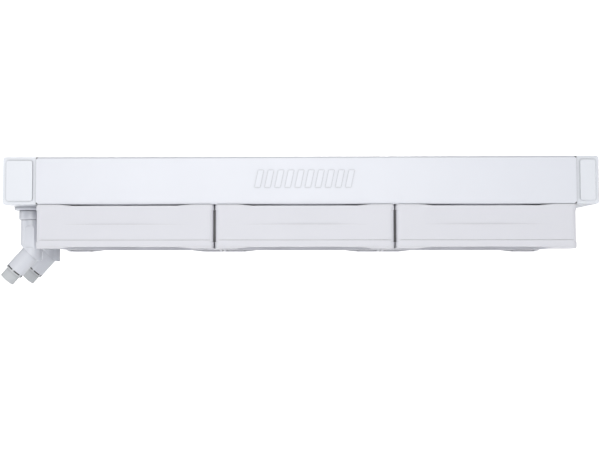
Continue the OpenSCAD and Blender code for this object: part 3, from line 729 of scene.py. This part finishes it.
def makeBladeTree(look):
    tree, nodes, links, given, out = newTree("impellerBlades", [
        ("Count", "Int", 9), ("Chord Steps", "Int", 14), ("Span Steps", "Int", 16),
        ("Hub Radius", "Float", 0.02), ("Tip Radius", "Float", 0.056), ("Root Arc", "Float", 0.5),
        ("Tip Arc", "Float", 0.5), ("Sweep", "Float", 0.15), ("Root Rise", "Float", 0.017),
        ("Tip Rise", "Float", 0.014), ("Camber", "Float", 0.0016), ("Thickness", "Float", 0.0017),
        ("Edge Thickness", "Float", 0.0005), ("Centre", "Vector", (0, 0, 0))])
    add, calc, vector = (partial(f, nodes, links) for f in (addNode, mathNode, vectorNode))
    block = add("GeometryNodeMeshCube", {"Size": (1, 1, 1), "Vertices X": given["Chord Steps"],
                                         "Vertices Y": given["Span Steps"], "Vertices Z": 2})
    place = add("ShaderNodeSeparateXYZ", {0: add("GeometryNodeInputPosition")}, give=None).outputs
    chord = place["X"]                    # -0.5 trailing to 0.5 leading
    span = calc("ADD", place["Y"], 0.5)

    def between(a, b):
        return calc("ADD", a, calc("MULTIPLY", calc("SUBTRACT", b, a), span))

    radius = between(given["Hub Radius"], given["Tip Radius"])
    # rounded outer corners: the chord shortens close to the tip
    nearTip = calc("POWER", span, look["cornerPower"])
    shorter = calc("SUBTRACT", 1.0, calc("MULTIPLY", nearTip, look["cornerCut"]))
    arcSize = calc("MULTIPLY", between(given["Root Arc"], given["Tip Arc"]), shorter)
    rise = calc("MULTIPLY", between(given["Root Rise"], given["Tip Rise"]), shorter)
    lead = calc("MULTIPLY", given["Sweep"], calc("SUBTRACT", calc("MULTIPLY", span, span), look["sweepStart"]))
    angle = calc("ADD", calc("MULTIPLY", chord, arcSize), lead)
    fromMid = calc("MULTIPLY", chord, 2.0)
    hump = calc("SUBTRACT", 1.0, calc("MULTIPLY", fromMid, fromMid))
    sag = calc("MULTIPLY", hump, given["Camber"])
    slope = calc("MULTIPLY", chord, rise)
    full = calc("SUBTRACT", given["Thickness"], given["Edge Thickness"])
    thick = calc("ADD", given["Edge Thickness"], calc("MULTIPLY", full, calc("SQRT", hump)))
    height = calc("SUBTRACT", calc("MULTIPLY", place["Z"], thick), calc("ADD", slope, sag))
    bent = vector(calc("MULTIPLY", radius, calc("COSINE", angle)),
                  calc("MULTIPLY", radius, calc("SINE", angle)), height)
    blade = add("GeometryNodeSetPosition", {"Geometry": block, "Position": bent})
    ring = add("GeometryNodeMeshLine", {"Count": given["Count"], "Offset": (0, 0, 0),
                                        "Start Location": given["Centre"]}, mode="OFFSET")
    share = calc("DIVIDE", add("GeometryNodeInputIndex"), given["Count"])
    turn = vector(z=calc("MULTIPLY", share, 2 * math.pi))
    endTree(nodes, links, given, out, add("GeometryNodeInstanceOnPoints",
                                          {"Points": ring, "Instance": blade, "Rotation": turn}))
    return tree


def arcPoints(cx, cz, radius, start, end, steps=6):
    angles = [math.radians(start + (end - start) * i / steps) for i in range(steps + 1)]
    return [(cx + radius * math.cos(a), cz + radius * math.sin(a)) for a in angles]


def turned(bm, profile, centre, steps=72):
    # a closed outline of (radius, height) points turned about an upright axis
    rings = []
    for radius, height in profile:
        count = steps if radius > 0 else 1
        angles = [2 * math.pi * k / steps for k in range(count)]
        rings.append([bm.verts.new((centre.x + radius * math.cos(a), centre.y + radius * math.sin(a), height))
                      for a in angles])
    for a, b in zip(rings, rings[1:] + rings[:1]):
        for k in range(steps):
            corners = (a[k % len(a)], a[(k + 1) % len(a)], b[(k + 1) % len(b)], b[k % len(b)])
            corners = list(dict.fromkeys(corners))  # a point on the axis counts once
            if len(corners) > 2:
                bm.faces.new(corners)


hubLook = {
    # mm; the ring is the groove in the closed face
    "round": 2.4, "wall": 1.5, "chamfer": 0.3,
    "ringRadius": 13.0, "ringDepth": 0.35, "ringWidth": 0.9,
    "bossRadius": 4.0, "bossHeight": 4.0, "shaftRadius": 1.5, "shaftFloor": 0.8,
}


def hubProfile(look, radius, base, top):
    size = {name: value * mm for name, value in look.items()}
    r, wall, chamfer, ring = size["round"], size["wall"], size["chamfer"], size["ringRadius"]
    boss, bossTop, shaft, floor = (
        size["bossRadius"], base + wall + size["bossHeight"], size["shaftRadius"], base + size["shaftFloor"])
    profile = [(0, base), (ring - size["ringWidth"], base),
               (ring - size["ringWidth"] / 2, base + size["ringDepth"]), (ring, base)]
    profile += arcPoints(radius - r, base + r, r, -90, 0)
    return profile + [
        (radius, top - chamfer), (radius - chamfer, top), (radius - wall, top), (radius - wall, base + wall),
        (boss, base + wall), (boss, bossTop), (shaft, bossTop), (shaft, floor), (0, floor)]


def addImpeller(side, tree, joint, look):
    nodeName = side + "_fan_impeller"
    low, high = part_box(nodeName)
    centre = Vector(joint["pos_m"])
    yokeLow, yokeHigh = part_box(side + "_fan_yoke")
    hubRadius = (yokeHigh.x - yokeLow.x) / 2 + hubLook["wall"] * mm
    tipRadius = max(high.x - centre.x, centre.x - low.x, high.y, -low.y) - look["tipTrim"] * mm
    bm = bmesh.new()
    turned(bm, hubProfile(hubLook, hubRadius, low.z, high.z), centre)
    blades = runTree(tree, "blades", {
        "Count": look["count"], "Chord Steps": look["chordSteps"], "Span Steps": look["spanSteps"],
        "Hub Radius": hubRadius - look["rootSink"] * mm, "Tip Radius": tipRadius,
        "Root Arc": math.radians(look["rootArc"]), "Tip Arc": math.radians(look["tipArc"]),
        "Sweep": math.radians(look["sweep"]), "Root Rise": look["rootRise"] * mm,
        "Tip Rise": look["tipRise"] * mm, "Camber": look["camber"] * mm,
        "Thickness": look["thickness"] * mm, "Edge Thickness": look["edgeThickness"] * mm,
        "Centre": Vector((centre.x, centre.y, (low.z + high.z) / 2 - look["drop"] * mm)),
        "Material": finish["bladePlastic"]})
    bm.from_mesh(blades.data)
    bpy.data.objects.remove(blades)
    bmesh.ops.recalc_face_normals(bm, faces=bm.faces)
    impeller = addObject("impeller_" + side, meshOf(bm, "impeller_" + side))
    smoothUpTo(impeller.data, look["sharpAngle"])
    standFor(impeller, nodeName)


bladeTree = makeBladeTree(bladeLook)
jointOf = {j["name"]: j for j in frame["joints"]}
for side in fanSides:
    addImpeller(side, bladeTree, jointOf[side + "_fan_spin"], bladeLook)
print("impellers made")
